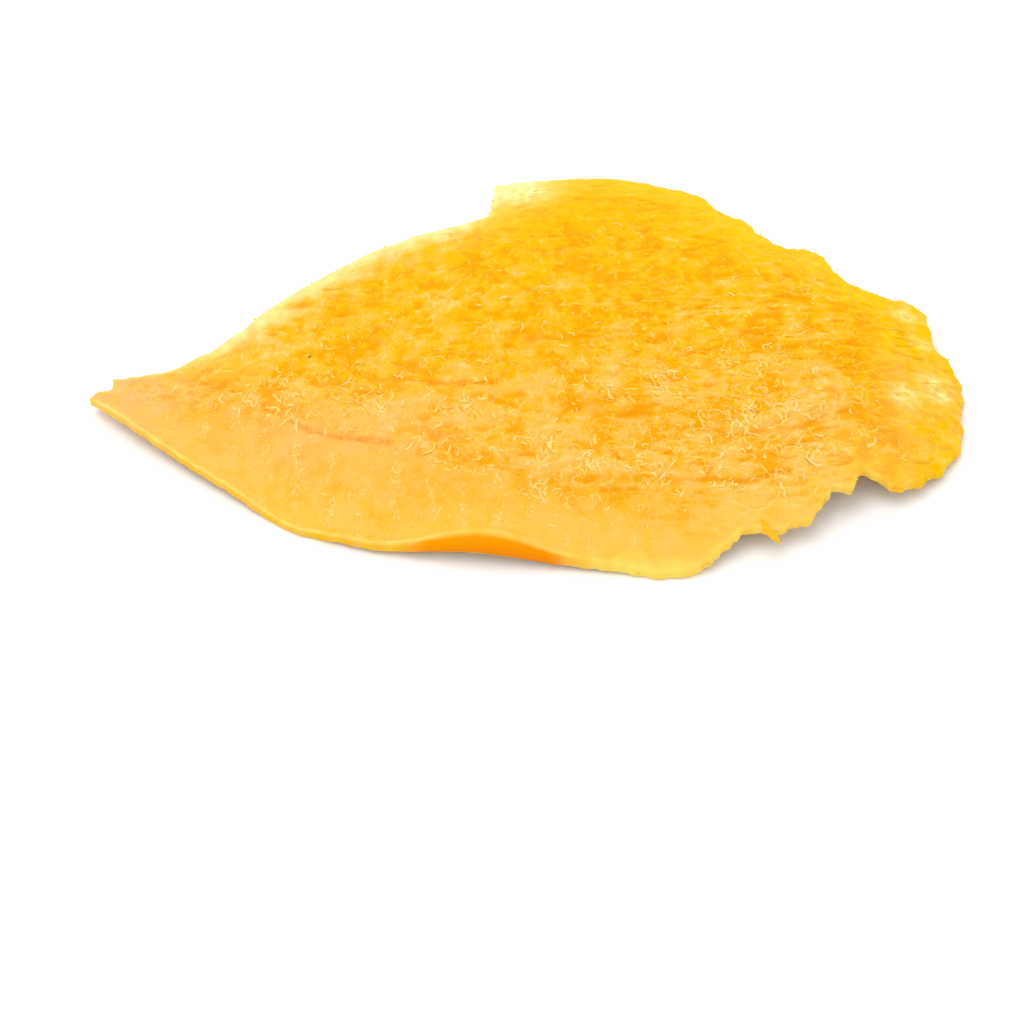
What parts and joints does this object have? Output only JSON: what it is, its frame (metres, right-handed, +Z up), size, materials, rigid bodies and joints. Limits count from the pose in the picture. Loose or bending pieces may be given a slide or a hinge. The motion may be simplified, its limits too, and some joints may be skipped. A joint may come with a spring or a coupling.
{
  "type": "dried mango slice",
  "caption": "Thin arched slice of dried mango with a pointed tip, a torn broad end, a thin rim and a fibrous face; it lies crown up.",
  "frame": {"origin": "middle of the slice's box, at the level of the surface it lies on", "axes": "+X runs from the pointed tip to the broad end, +Y from the front rim to the back rim, +Z up out of the crown"},
  "size_m": [0.1152, 0.0712, 0.0105],
  "materials": {
    "flesh": "moist, slightly translucent, fibrous"
  },
  "bodies": {
    "root": {"mango_slice": "flesh"}
  },
  "joints": []
}
